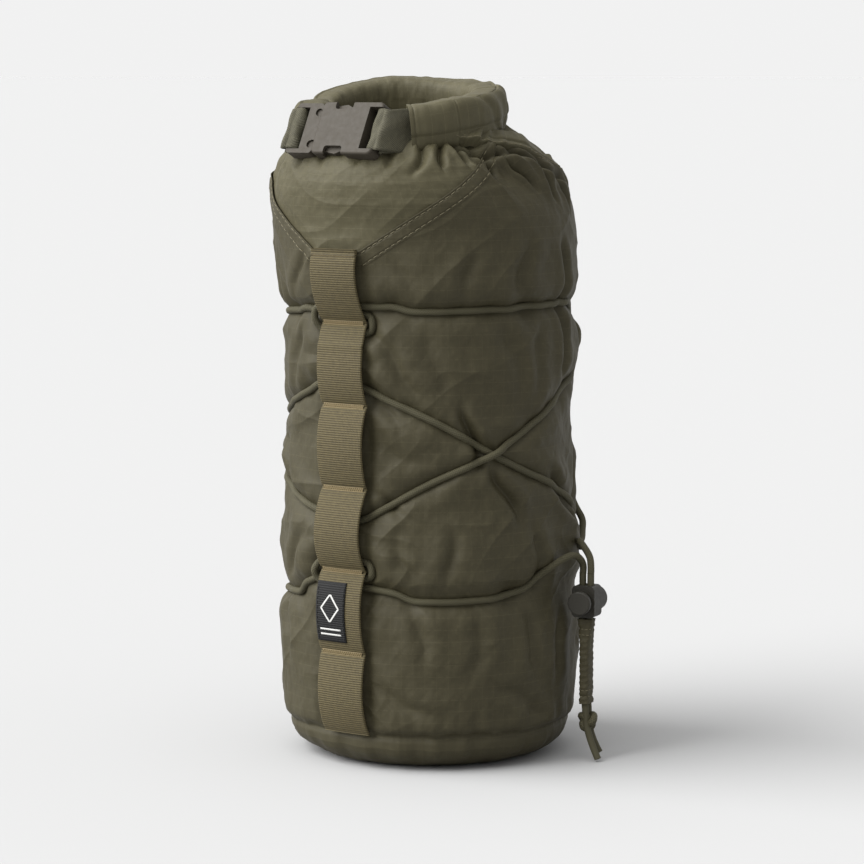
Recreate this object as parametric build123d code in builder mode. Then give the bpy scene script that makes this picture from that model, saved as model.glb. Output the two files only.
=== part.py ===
"""Roll-top stuff sack with lash webbing, shock-cord lacing, cord lock and side-release buckle.

Millimetres. Origin at the centre of the base, +Z up, the webbing chain that carries the label faces -Y.
An azimuth counts from the front (-Y) towards +X.
"""

import os
from math import cos, radians, sin, tan

from build123d import *

# ---- driving dimensions -------------------------------------------------------------------------
CLOTH = 1.2                      # thickness given to every cloth wall
BODY_R = 66.8                    # radius of the laced zone
SEAM_Z, SEAM_R = 17.0, 69.6      # seam between the wall and the base
FLOOR_R = 50.0                   # flat patch that the sack stands on
SHOULDER_Z, SHOULDER_R = 284.0, 56.0
BODY_PROFILE = [                 # (radius, height) up the outside of the wall
    (SEAM_R, SEAM_Z), (SEAM_R, 22), (70.2, 34), (69.8, 50), (69.8, 60), (67.6, 70), (BODY_R, 76),
    (BODY_R, 220), (70.4, 230), (70.4, 250), (69.5, 257), (68.4, 264), (65.0, 271), (60.8, 278),
    (SHOULDER_R, SHOULDER_Z),
]
V_LOW, V_HIGH, V_HALF = 241.0, 283.0, 66.0   # the V seam between the lower cloth and the collar

WEB_W, WEB_T = 25.0, 1.5         # lash webbing
WEB_TOP = 241.0
CHAIN_AZIMUTHS = {"front": 0.0, "back": 180.0}
TACK_Z = [239.6, 207.6, 169.5, 131.4, 93.3, 55.2, 18.2]
TACK_R = [70.4, BODY_R, BODY_R, BODY_R, BODY_R, 69.8, SEAM_R]
TACK_HALF = 1.2                  # half height of the sewn row
RAMP = 3.2                       # height over which the webbing leaves the cloth
LIFTS = [4.2, 4.2, 5.5, 5.6, 4.2, 4.6]       # free height under each loop, beside its ramps
CROWN = 1.0                      # extra height at the middle of a loop
TACK_T = 0.5

LABEL_W, LABEL_H, LABEL_T = 17.0, 26.0, 0.6

CORD_D = 3.3
CORD_R = BODY_R + CORD_D / 2 + 0.35          # radius of the route round the sack
HIGH_Z, LOW_Z = 184.0, 113.0                 # where the crossed runs turn under the webbing
LOW_RING_Z, TOP_RING_Z = 78.5, 214.5

ROLL_Y, ROLL_Z, ROLL_TILT = -24.0, 289.0, 6.0
ROLL_IN, ROLL_OUT, ROLL_H = 31.5, 49.5, 22.5
ROLL_START, ROLL_END = 41.0, 310.0
THROAT_Y, THROAT_R = -14.0, 44.0

BUCKLE = Plane(origin=(-4, -66.5, 294.5), x_dir=(1, 0, 0),
               z_dir=(0, -cos(radians(27)), sin(radians(27))))
SOCKET_X0, SOCKET_X1, SOCKET_W, SOCKET_T = -9.5, 24.5, 26.0, 8.8
CAVITY_W, CAVITY_T, CAVITY_X1 = 20.8, 5.4, 14.0
NOTCH_W, NOTCH_DEEP = 10.0, 3.8              # cut-outs that let a thumb reach the arms
PLUG_X0, PLUG_X1, PLUG_W, PLUG_T = -24.5, -9.8, 25.0, 6.4
BAR, BAR_T, SLOT = 3.0, 4.0, 4.2             # webbing bar and slot of both halves
TAB_W, TAB_T = 20.0, 1.6
ARM_PIVOT = (-11.6, 8.0)
ARM_T, ARM_KNUCKLE = 4.4, 1.7

LOCK_AZ, LOCK_R, LOCK_Z, LOCK_H = 100.0, 81.0, 75.5, 15.0
LOCK_D, LOCK_BORE = 12.0, 9.0
LOCK_TRAVEL = 5.0
JOIN_Z = LOCK_Z + LOCK_H / 2 + LOCK_TRAVEL + 0.6
SLEEVE_TOP, SLEEVE_LOW = 67.0, 27.0
KNOT_Z, KNOT_R = 18.5, 6.0


# ---- helpers ------------------------------------------------------------------------------------
def around(azimuth, radius, z):
    """A point at an azimuth and a radius from the sack's axis."""
    return Vector(radius * sin(radians(azimuth)), -radius * cos(radians(azimuth)), z)


def facing(azimuth):
    """An upright plane through the axis that looks outward along an azimuth."""
    return Plane(origin=(0, 0, 0), x_dir=(cos(radians(azimuth)), sin(radians(azimuth)), 0),
                 z_dir=(sin(radians(azimuth)), -cos(radians(azimuth)), 0))


def bend_radii(points):
    """The largest radius each corner of a cord's route has room for."""
    radii = []
    for before, corner, after in zip(points, points[1:], points[2:]):
        run_in, run_out = corner - before, after - corner
        half_turn = radians(run_in.get_angle(run_out)) / 2
        radii.append(0.45 * min(run_in.length, run_out.length) / tan(half_turn))
    return radii


def route_length(points):
    """Length of a filleted route."""
    total = sum((b - a).length for a, b in zip(points, points[1:]))
    for corner, radius in zip(range(1, len(points) - 1), bend_radii(points)):
        turn = radians((points[corner] - points[corner - 1]).get_angle(points[corner + 1] - points[corner]))
        total += radius * turn - 2 * radius * tan(turn / 2)
    return total


def report_route(name, points, solid):
    radii = bend_radii(points)
    length = route_length(points)
    share = solid.volume / (3.14159265 * (CORD_D / 2) ** 2 * length)
    print(f"{name}: length {length:.1f} mm, smallest radius {min(radii):.1f} mm, volume share {share:.4f}")


def web_inner():
    """Inner face of a webbing chain as (radius, height), from its top end to the base seam."""
    points = [(TACK_R[0], WEB_TOP)]
    for i, lift in enumerate(LIFTS):
        top, low = TACK_Z[i] - TACK_HALF, TACK_Z[i + 1] + TACK_HALF
        points += [
            (TACK_R[i], top),
            (TACK_R[i] + lift, top - RAMP),
            ((TACK_R[i] + TACK_R[i + 1]) / 2 + lift + CROWN, (top + low) / 2),
            (TACK_R[i + 1] + lift, low + RAMP),
            (TACK_R[i + 1], low),
        ]
    return points + [(TACK_R[-1], SEAM_Z)]


def web_outer_radius(z):
    """Radius of the webbing's outer face at a height."""
    line = web_inner()
    for (r0, z0), (r1, z1) in zip(line, line[1:]):
        if z1 <= z <= z0:
            return WEB_T + r0 + (r1 - r0) * (z0 - z) / (z0 - z1)
    return WEB_T + line[-1][0]


def half_angle(width, radius):
    return width / radius / 2 * 57.29578


# ---- cloth --------------------------------------------------------------------------------------
with BuildPart() as v_zone:
    for azimuth in CHAIN_AZIMUTHS.values():
        with BuildSketch(facing(azimuth)):
            with BuildLine():
                Polyline((-WEB_W / 2, V_LOW), (WEB_W / 2, V_LOW), (V_HALF, V_HIGH), (V_HALF, 330),
                         (-V_HALF, 330), (-V_HALF, V_HIGH), close=True)
            make_face()
        extrude(amount=100)
    with Locations((0, 0, V_HIGH)):
        Cylinder(90, 60, align=(Align.CENTER, Align.CENTER, Align.MIN))

wall_inside = [(r - CLOTH, z) for r, z in reversed(BODY_PROFILE)]

with BuildPart() as main_panel:
    with BuildSketch(Plane.XZ):
        with BuildLine():
            Polyline(*BODY_PROFILE, *wall_inside, close=True)
        make_face()
    revolve(axis=Axis.Z)
    add(v_zone.part, mode=Mode.SUBTRACT)
main_panel.part.label = "main_panel"

ROLL_PLANE = Plane(origin=(0, ROLL_Y, ROLL_Z), x_dir=(1, 0, 0),
                   z_dir=(0, -sin(radians(ROLL_TILT)), cos(radians(ROLL_TILT))))


def throat_plane(y, z, tilt):
    """A plane across the throat, tilted forward."""
    return Plane(origin=(0, y, z), x_dir=(1, 0, 0), z_dir=(0, -sin(radians(tilt)), cos(radians(tilt))))


throat_z = ROLL_Z + (THROAT_Y - ROLL_Y) * tan(radians(ROLL_TILT))
throat_outside = [(throat_plane(0, SHOULDER_Z, 0), SHOULDER_R), (throat_plane(-6, SHOULDER_Z + 3.8, 3), 51.5),
                  (throat_plane(THROAT_Y, throat_z, ROLL_TILT), THROAT_R)]
throat_inside = [(plane.offset(drop), radius - CLOTH)
                 for (plane, radius), drop in zip(throat_outside, (0, -0.4, -CLOTH))]

with BuildPart() as throat_hollow:
    for plane, radius in throat_inside:
        with BuildSketch(plane):
            Circle(radius)
    loft(ruled=True)

with BuildPart() as collar_panel:
    with BuildSketch(Plane.XZ):
        with BuildLine():
            Polyline(*BODY_PROFILE, *wall_inside, close=True)
        make_face()
    revolve(axis=Axis.Z)
    add(v_zone.part, mode=Mode.INTERSECT)
    for plane, radius in throat_outside:
        with BuildSketch(plane):
            Circle(radius)
    loft(ruled=True)
    add(throat_hollow.part, mode=Mode.SUBTRACT)
collar_panel.part.label = "collar_panel"

with BuildPart() as bottom_panel:
    with BuildSketch(Plane.XZ):
        with BuildLine():
            Polyline((0, 0), (FLOOR_R, 0), (59, 2.4), (66, 8), (SEAM_R, SEAM_Z),
                     (SEAM_R - CLOTH, SEAM_Z), (65, 9), (58.4, 3.6), (FLOOR_R - 0.3, CLOTH),
                     (0, CLOTH), close=True)
        make_face()
    revolve(axis=Axis.Z)
bottom_panel.part.label = "bottom_panel"

roll_axis = Axis(ROLL_PLANE.origin, ROLL_PLANE.z_dir)


def roll_direction(azimuth):
    """Outward direction of the rolled collar at an azimuth, in its own tilted plane."""
    return (ROLL_PLANE.x_dir * sin(radians(azimuth)) - ROLL_PLANE.y_dir * cos(radians(azimuth))).normalized()


def roll_section(azimuth):
    """Plane of the roll's cross-section: x outward, y along the roll's axis."""
    out = roll_direction(azimuth)
    return Plane(origin=ROLL_PLANE.origin, x_dir=out, z_dir=out.cross(ROLL_PLANE.z_dir))


with BuildPart() as rolled_collar:
    with BuildSketch(roll_section(ROLL_START)):
        with Locations(((ROLL_IN + ROLL_OUT) / 2, ROLL_H / 2)):
            RectangleRounded(ROLL_OUT - ROLL_IN, ROLL_H, 5.0)
    revolve(axis=roll_axis, revolution_arc=ROLL_END - ROLL_START)
rolled_collar.part.label = "rolled_collar"

# ---- webbing chains, their bar tacks and the label ----------------------------------------------
chains, tacks = {}, {}
web_half = half_angle(WEB_W, BODY_R + 5)
for side, azimuth in CHAIN_AZIMUTHS.items():
    with BuildPart() as chain:
        section = Plane.XZ.rotated((0, 0, azimuth - 90 - web_half))
        with BuildSketch(section):
            with BuildLine():
                Polyline(*web_inner(), *[(r + WEB_T, z) for r, z in reversed(web_inner())], close=True)
            make_face()
        revolve(axis=Axis.Z, revolution_arc=2 * web_half)
    chain.part.label = f"chain_{side}"
    chains[side] = chain.part
    with BuildPart() as tack_set:
        section = Plane.XZ.rotated((0, 0, azimuth - 90 - web_half + 0.8))
        with BuildSketch(section):
            for z, r in zip(TACK_Z[:-1], TACK_R[:-1]):
                with Locations((r + WEB_T, z)):
                    Rectangle(TACK_T, 2 * TACK_HALF - 0.4, align=(Align.MIN, Align.CENTER))
        revolve(axis=Axis.Z, revolution_arc=2 * (web_half - 0.8))
    tack_set.part.label = f"bar_tacks_{side}"
    tacks[side] = tack_set.part

label_mid = (TACK_Z[4] + TACK_Z[5]) / 2
label_rows = [label_mid + LABEL_H / 2, label_mid, label_mid - LABEL_H / 2]
label_half = half_angle(LABEL_W, BODY_R + 7)
with BuildPart() as label:
    with BuildSketch(Plane.XZ.rotated((0, 0, -90 - label_half))):
        with BuildLine():
            face_line = [(web_outer_radius(z), z) for z in label_rows]
            Polyline(*face_line, *[(r + LABEL_T, z) for r, z in reversed(face_line)], close=True)
        make_face()
    revolve(axis=Axis.Z, revolution_arc=2 * label_half)
label.part.label = "label"


# ---- shock-cord lacing --------------------------------------------------------------------------
def on_body(azimuth, z, lift=0.0):
    return around(azimuth, CORD_R + lift, z)


def round_turn(azimuth, tack_z, side):
    """A full turn of the cord round a bar tack; side is 1 where the ring runs below it, -1 above."""
    steps = [
        (21, -9.4, 0), (10, -9.2, 0), (0, -9.2, 0), (-9.5, -9.2, 0.2), (-13.6, -8.6, 2.6),
        (-16.8, -5.5, 4.4), (-17.0, -1.0, 3.4), (-14.0, 4.4, 0.8), (-9.0, 5.5, 0.1), (0, 5.4, 0),
        (9.0, 5.5, 0.1), (13.6, 4.0, 0.3), (15.2, 0, 0.4), (13.6, -4.0, 0.3), (9.0, -5.4, 0.1),
        (0, -5.4, 0), (-10, -5.6, 0), (-21, -7.4, 0),
    ]
    return [on_body(azimuth + turn, tack_z + side * rise, lift) for turn, rise, lift in steps]


def ring_arc(first, last, z0, z1):
    """Even steps of a ring between two azimuths, with the heights easing from z0 to z1."""
    count = round(abs(first - last) / 11)
    return [on_body(first + (last - first) * k / count, z0 + (z1 - z0) * k / count) for k in range(count + 1)]


def crossed_run(first, span, z0, z1, over):
    """A slanting run over a span of azimuth, crossing another run halfway."""
    gaps = round((span / 2 - 27.5) / 10.5)
    first_half = [0, 10] + [21 + (span / 2 - 27.5) * k / gaps for k in range(gaps + 1)]
    rise = {first_half[-1]: 2.4, span / 2: 4.1, span - first_half[-1]: 2.4} if over else {}
    turns = first_half + [span / 2] + [span - turn for turn in reversed(first_half[1:])]
    return [on_body(first - turn, z0 + (z1 - z0) * max(0.02, turn / span), rise.get(turn, 0))
            for turn in turns]


lacing = [
    around(LOCK_AZ, LOCK_R - 2, JOIN_Z), around(LOCK_AZ, LOCK_R - 2, JOIN_Z + 4.6),
    around(LOCK_AZ - 3.2, LOCK_R - 4.2, JOIN_Z + 8.6), around(LOCK_AZ - 8, LOCK_R - 8, JOIN_Z + 7),
    around(LOCK_AZ - 12, CORD_R + 0.8, JOIN_Z + 1.6), on_body(83, 84), on_body(73, 80),
    *ring_arc(62, 32, LOW_RING_Z, 81),
    *round_turn(0, TACK_Z[4], 1),
    *ring_arc(-32, -148, LOW_RING_Z, LOW_RING_Z + 1),
    *round_turn(-180, TACK_Z[4], 1),
    on_body(-211, 88.2), on_body(-221, 94.6), on_body(-231, 103.6),
    *crossed_run(-240, 120, LOW_Z, HIGH_Z, False),
    *crossed_run(-360, 180, HIGH_Z, LOW_Z, False),
    on_body(-540, LOW_Z), on_body(-551, 113.4), on_body(-558, 118), on_body(-564, 129), on_body(-570, 146),
    on_body(-575, 163), on_body(-580, 180), on_body(-585.5, 196), on_body(-591.5, 206.5),
    on_body(-600, 212.6),
    *ring_arc(-612, -689, TOP_RING_Z, TOP_RING_Z + 0.8),
    *round_turn(-720, TACK_Z[1], -1),
    *ring_arc(-752, -868, TOP_RING_Z, TOP_RING_Z - 1),
    *round_turn(-900, TACK_Z[1], -1),
    on_body(-929.5, 213.2), on_body(-937, 205.6, 1.6), on_body(-944, 197, 4.2), on_body(-951, 190.8, 1.8),
    *crossed_run(-960, 120, HIGH_Z, LOW_Z, True),
    *crossed_run(-1080, 180, LOW_Z, HIGH_Z, True),
    on_body(-1260, HIGH_Z), on_body(-1271, 183.6), on_body(-1277, 179.4), on_body(-1283, 169),
    on_body(-1287.6, 159, 2.2), on_body(-1291.4, 150, 4.2), on_body(-1295.6, 140.6, 2.2), on_body(-1300, 129),
    on_body(-1304.6, 117.6, 1.6), on_body(-1309.4, 107, 4.2), on_body(-1315, 99.6, 2.2),
    on_body(-1322, 97.4, 0.6),
    on_body(-1330, 99.4, 2.4), around(-1336.5, 76.4, JOIN_Z + 12.6), around(-1340, LOCK_R + 2, JOIN_Z + 9),
    around(-1340, LOCK_R + 2, JOIN_Z),
]

with BuildPart() as shock_cord:
    with BuildLine() as lacing_line:
        FilletPolyline(*lacing, radius=bend_radii(lacing))
    with BuildSketch(Plane(origin=lacing[0], z_dir=lacing[1] - lacing[0])):
        Circle(CORD_D / 2)
    sweep(path=lacing_line.wire())
shock_cord.part.label = "shock_cord"
report_route("shock_cord", lacing, shock_cord.part)

# ---- free cord ends, knot, pull sleeve ----------------------------------------------------------
LOCK = Plane(origin=around(LOCK_AZ, LOCK_R, LOCK_Z),
             x_dir=around(LOCK_AZ, 1, 0), z_dir=(0, 0, 1))


def lock_point(out, along, z):
    """A point beside the lock: outward from the sack, along its surface, and a true height."""
    return LOCK.origin + LOCK.x_dir * out + LOCK.y_dir * along + Vector(0, 0, z - LOCK_Z)


tail_routes = {}
for name, start, hand in (("cord_tail_inner", -2.0, 1), ("cord_tail_outer", 2.0, -1)):
    tail_routes[name] = [
        lock_point(start, 0, JOIN_Z), lock_point(start, 0, 66.5), lock_point(0.5 * start, 2.2 * hand, 54),
        lock_point(-0.3, 1.95 * hand, 40), lock_point(0.2, 2.0 * hand, 26),
        lock_point(1.2 + 0.2 * start, 2.1 * hand, 12),
        lock_point(6.5 + 0.5 * start, 3.4 * hand, 2.2 + 0.9 * hand),
    ]

tails = {}
for name, points in tail_routes.items():
    with BuildPart() as tail:
        with BuildLine() as tail_line:
            FilletPolyline(*points, radius=bend_radii(points))
        with BuildSketch(Plane(origin=points[0], z_dir=points[1] - points[0])):
            Circle(CORD_D / 2)
        sweep(path=tail_line.wire())
    tail.part.label = name
    tails[name] = tail.part
    report_route(name, points, tail.part)

with BuildPart() as pull_sleeve:
    for z, out, wide in ((SLEEVE_TOP - 0.2, 8.2, 6.4), (55, 5.0, 8.6), (SLEEVE_LOW, 4.9, 8.6)):
        with BuildSketch(Plane(origin=lock_point(0, 0, z), x_dir=LOCK.x_dir, z_dir=(0, 0, 1))):
            RectangleRounded(out, wide, 1.8)
    loft(ruled=True)
    for tail in tails.values():
        add(tail, mode=Mode.SUBTRACT)
pull_sleeve.part.label = "pull_sleeve"

with BuildPart() as knot:
    with Locations(Location(lock_point(0.8, 0, KNOT_Z))):
        Sphere(KNOT_R)
    for tail in tails.values():
        add(tail, mode=Mode.SUBTRACT)
knot.part.label = "knot"

# ---- cord lock ----------------------------------------------------------------------------------
LOCK_FRONT = Plane(origin=LOCK.origin, x_dir=LOCK.x_dir, z_dir=-LOCK.y_dir)


def lock_plane(depth):
    """A plane across the plunger's axis; positive depth is towards the button."""
    return LOCK_FRONT.offset(depth)


with BuildPart() as lock_body:
    with BuildSketch(lock_plane(-11)):
        Circle(LOCK_D / 2)
    extrude(amount=16)
    with BuildSketch(lock_plane(-4.5)):
        RectangleRounded(LOCK_D - 0.6, LOCK_H, 2.2)
    extrude(amount=9)
    with BuildSketch(lock_plane(-9.5)):
        Circle(LOCK_BORE / 2)
    extrude(amount=14.5, mode=Mode.SUBTRACT)
    with BuildSketch(Plane(origin=LOCK.origin, x_dir=LOCK.x_dir, z_dir=(0, 0, 1))):
        SlotOverall(8.2, 4.0)
    extrude(amount=LOCK_H, both=True, mode=Mode.SUBTRACT)
lock_body.part.label = "lock_body"

with BuildPart() as lock_plunger:
    with BuildSketch(lock_plane(-3.4)):
        Circle(LOCK_BORE / 2 - 0.2)
    extrude(amount=11.6)
    with BuildSketch(lock_plane(8.2)):
        Circle(LOCK_D / 2 - 0.4)
    extrude(amount=2.2)
    fillet(lock_plunger.faces().sort_by(Axis(LOCK.origin, LOCK_FRONT.z_dir))[-1].edges(), 0.7)
    with BuildSketch(LOCK_FRONT):
        with BuildLine():
            Polyline((-3.85, -9), (3.85, -9), (3.85, 9), (-3.85, 9), close=True)
        make_face()
    extrude(amount=4.9, mode=Mode.SUBTRACT)
    with BuildSketch(LOCK_FRONT):
        Rectangle(7.7, 18)
    extrude(amount=-1.95, mode=Mode.SUBTRACT)
lock_plunger.part.label = "lock_plunger"

with BuildPart() as lock_spring:
    with BuildSketch(lock_plane(-9.5)):
        Circle(3.4)
        Circle(2.4, mode=Mode.SUBTRACT)
    extrude(amount=6.1)
lock_spring.part.label = "lock_spring"

# ---- side-release buckle ------------------------------------------------------------------------
with BuildPart() as buckle_socket:
    with BuildSketch(BUCKLE.offset(-SOCKET_T / 2)):
        with Locations(((SOCKET_X0 + SOCKET_X1) / 2, 0)):
            RectangleRounded(SOCKET_X1 - SOCKET_X0, SOCKET_W, 2.6)
    extrude(amount=SOCKET_T)
    fillet(buckle_socket.edges().group_by(Axis(BUCKLE.origin, BUCKLE.z_dir))[-1], 1.1)
    with BuildSketch(BUCKLE.offset(-CAVITY_T / 2)):
        with Locations(((SOCKET_X0 + CAVITY_X1) / 2, 0)):
            Rectangle(CAVITY_X1 - SOCKET_X0, CAVITY_W)
        with Locations((2.8, 0)):
            Rectangle(12.4, SOCKET_W + 2)
    extrude(amount=CAVITY_T, mode=Mode.SUBTRACT)
    with BuildSketch(BUCKLE.offset(-SOCKET_T)):
        for hand in (1, -1):
            with Locations((2.8, hand * SOCKET_W / 2)):
                RectangleRounded(NOTCH_W, 2 * NOTCH_DEEP, 1.4)
        with Locations((SOCKET_X1 - BAR - SLOT / 2, 0)):
            Rectangle(SLOT, TAB_W + 0.8)
    extrude(amount=2 * SOCKET_T, mode=Mode.SUBTRACT)
    with BuildSketch(BUCKLE.offset(BAR_T / 2)):
        with Locations((SOCKET_X1 - BAR / 2, 0)):
            Rectangle(BAR, TAB_W + 0.8)
    extrude(amount=SOCKET_T, mode=Mode.SUBTRACT)
    with BuildSketch(BUCKLE.offset(-BAR_T / 2)):
        with Locations((SOCKET_X1 - BAR / 2, 0)):
            Rectangle(BAR, TAB_W + 0.8)
    extrude(amount=-SOCKET_T, mode=Mode.SUBTRACT)
buckle_socket.part.label = "buckle_socket"

with BuildPart() as buckle_plug:
    with BuildSketch(BUCKLE.offset(-PLUG_T / 2)):
        with Locations(((PLUG_X0 + PLUG_X1) / 2, 0)):
            RectangleRounded(PLUG_X1 - PLUG_X0, PLUG_W, 1.8)
        with Locations((PLUG_X0 + BAR + SLOT / 2, 0)):
            Rectangle(SLOT, TAB_W + 0.8, mode=Mode.SUBTRACT)
    extrude(amount=PLUG_T)
    with BuildSketch(BUCKLE.offset(-2.2)):
        with Locations((PLUG_X1 - 0.5, 0)):
            Rectangle(20.5, 4.8, align=(Align.MIN, Align.CENTER))
    extrude(amount=4.4)
    for level, amount in ((BAR_T / 2, PLUG_T), (-BAR_T / 2, -PLUG_T)):
        with BuildSketch(BUCKLE.offset(level)):
            with Locations((PLUG_X0 + BAR / 2, 0)):
                Rectangle(BAR, TAB_W + 0.8)
        extrude(amount=amount, mode=Mode.SUBTRACT)
    with BuildSketch(BUCKLE.offset(-PLUG_T)):
        for hand in (1, -1):
            with Locations((ARM_PIVOT[0], hand * ARM_PIVOT[1])):
                Circle(ARM_KNUCKLE + 0.15)
            with Locations((PLUG_X1, hand * ARM_PIVOT[1] - hand * 0.4)):
                Rectangle(3.6, 3.4)
    extrude(amount=2 * PLUG_T, mode=Mode.SUBTRACT)
buckle_plug.part.label = "buckle_plug"

arms = {}
for name, hand in (("arm_upper", 1), ("arm_lower", -1)):
    with BuildPart() as arm:
        with BuildSketch(BUCKLE.offset(-ARM_T / 2)):
            with Locations((ARM_PIVOT[0], hand * ARM_PIVOT[1])):
                Circle(ARM_KNUCKLE)
            with BuildLine():
                Polyline((ARM_PIVOT[0], hand * 6.9), (8.6, hand * 6.9), (8.8, hand * 9.6), (3, hand * 12.3),
                         (-3.0, hand * 11.3), (-3.0, hand * 9.0), (ARM_PIVOT[0], hand * 9.0), close=True)
            make_face()
        extrude(amount=ARM_T)
    arm.part.label = name
    arms[name] = arm.part


# ---- webbing tabs between the buckle and the ends of the roll -----------------------------------
def tab(bar_middle, hand, roll_azimuth):
    """Webbing looped round a bar of the buckle and sewn on an end of the roll."""
    with BuildPart() as strip:
        with BuildSketch(Plane(origin=BUCKLE.origin - BUCKLE.y_dir * TAB_W / 2, x_dir=BUCKLE.x_dir,
                               z_dir=BUCKLE.y_dir)):
            with Locations((bar_middle, 0)):
                RectangleRounded(BAR + 0.4 + 2 * TAB_T, BAR_T + 0.4 + 2 * TAB_T, 1.5)
                Rectangle(BAR + 0.4, BAR_T + 0.4, mode=Mode.SUBTRACT)
        extrude(amount=TAB_W)
        end_x = bar_middle + hand * ((BAR + 0.4) / 2 + TAB_T / 2)
        with BuildSketch(Plane(origin=BUCKLE.origin + BUCKLE.x_dir * end_x, x_dir=BUCKLE.z_dir,
                               z_dir=BUCKLE.x_dir * hand)):
            Rectangle(2 * TAB_T, TAB_W)
        with BuildSketch(roll_section(roll_azimuth)):
            with Locations(((ROLL_IN + ROLL_OUT) / 2, ROLL_H / 2)):
                Rectangle(2 * TAB_T, TAB_W)
        loft(ruled=True)
    return strip.part


socket_tab = tab(SOCKET_X1 - BAR / 2, 1, ROLL_START)
socket_tab.label = "socket_tab"
plug_strap = tab(PLUG_X0 + BAR / 2, -1, ROLL_END)
plug_strap.label = "plug_strap"

# ---- export -------------------------------------------------------------------------------------
os.makedirs("parts", exist_ok=True)
solids = [
    main_panel.part, collar_panel.part, bottom_panel.part, rolled_collar.part, *chains.values(),
    *tacks.values(), label.part, shock_cord.part, *tails.values(), knot.part, pull_sleeve.part,
    lock_body.part, lock_plunger.part, lock_spring.part, buckle_socket.part, buckle_plug.part,
    *arms.values(), socket_tab, plug_strap,
]
for solid in solids:
    export_step(solid, f"parts/{solid.label}.step")
    print(f"{solid.label}: {solid.volume:.0f} mm3, solids {len(solid.solids())}")
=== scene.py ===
import math

import bpy
import numpy as np
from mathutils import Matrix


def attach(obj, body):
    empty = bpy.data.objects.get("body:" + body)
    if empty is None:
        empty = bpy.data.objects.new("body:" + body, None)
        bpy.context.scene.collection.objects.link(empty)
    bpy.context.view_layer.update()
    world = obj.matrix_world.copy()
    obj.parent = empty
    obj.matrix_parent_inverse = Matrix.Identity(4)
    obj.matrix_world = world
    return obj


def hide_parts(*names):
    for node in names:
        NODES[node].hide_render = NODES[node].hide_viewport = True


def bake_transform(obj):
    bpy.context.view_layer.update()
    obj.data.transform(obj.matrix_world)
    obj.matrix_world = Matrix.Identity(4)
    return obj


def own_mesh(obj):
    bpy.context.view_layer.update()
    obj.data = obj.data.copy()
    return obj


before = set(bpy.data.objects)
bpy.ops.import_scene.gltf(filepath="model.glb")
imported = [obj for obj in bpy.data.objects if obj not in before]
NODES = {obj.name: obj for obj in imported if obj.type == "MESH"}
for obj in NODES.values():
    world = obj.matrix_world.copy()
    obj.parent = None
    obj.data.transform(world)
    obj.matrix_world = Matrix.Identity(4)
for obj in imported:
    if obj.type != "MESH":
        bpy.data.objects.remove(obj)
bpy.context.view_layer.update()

MM = 0.001
FINE = 1.0                 # share of the full mesh density

# Azimuths are in degrees.
CHAINS = {"front": 0.0, "back": 180.0}            # azimuth of each webbing chain
TACK_Z = [239.4, 207.6, 169.5, 131.4, 93.3, 55.2, 17.6]
BULGE = [4.2, 4.6, 4.8, 6.4, 4.6, 4.4]            # how far each loop of webbing stands off
WEB_PITCH = 1.05                                  # height of one rib of the webbing
WEB_T = 1.25
SEAM_Z = 17.0                                     # seam between the wall and the base
V_LOW = 241.0                                     # the V seam where it meets a chain
SEAM_DROP = 7.0                                   # overlap of the two cloths along the V seam
SEAM_ROWS = (1.3, SEAM_DROP)                      # rows of stitches below the V seam's edge
ROLL_C, ROLL_R, ROLL_TILT, ROLL_MID = -24.0, 41.0, 9.0, 300.0     # the ring's y, radius, tilt and height
ROLL_START, ROLL_END = 41.0, 310.0                # azimuths of the roll's two ends
CORD_R = 1.65
CORD_HIGH, CORD_LOW = 184, 113                    # heights where the crossed runs turn
LOCK_AZ, LOCK_RADIUS, LOCK_Z = 100, 81, 75.5      # middle of the cord lock
PER_DEGREE = 1.19                                 # mm round the laced zone for a degree
UV_PER_DEGREE = 1.222                             # the same for the weave's UV
UP = np.array([0, 0, 1.0])


# ---- small maths ----
def wrap_deg(a):
    return (a + 180.0) % 360.0 - 180.0


def smooth(x, a, b):
    t = np.clip((x - a) / (b - a), 0, 1)
    return t * t * (3 - 2 * t)


def bump(d, width):
    return np.exp(-(d / width) ** 2)


def softened(values, window):
    """A running mean over an odd number of samples, weighted to its middle."""
    weights = np.hanning(window)
    return np.convolve(np.pad(values, window // 2, mode="edge"), weights / weights.sum(), "valid")


def run_length(path):
    """Distance from the start at each point of a path."""
    return np.concatenate([[0], np.cumsum(np.linalg.norm(np.diff(path, axis=0), axis=1))])


class Noise:
    """Smooth value noise that closes round the sack: u counts turns, v counts rows."""

    def __init__(self, cells, rows, seed):
        self.cells, self.rows = cells, rows
        self.table = np.random.default_rng(seed).uniform(-1, 1, (rows, cells))

    def __call__(self, u, v):
        x, y = (u % 1.0) * self.cells, v % self.rows
        xi, yi = np.floor(x).astype(int), np.floor(y).astype(int)
        fx, fy = x - xi, y - yi
        fx, fy = fx * fx * (3 - 2 * fx), fy * fy * (3 - 2 * fy)
        x0, x1 = xi % self.cells, (xi + 1) % self.cells
        y0, y1 = yi % self.rows, (yi + 1) % self.rows
        t = self.table
        return ((t[y0, x0] * (1 - fx) + t[y0, x1] * fx) * (1 - fy)
                + (t[y1, x0] * (1 - fx) + t[y1, x1] * fx) * fy)


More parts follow.
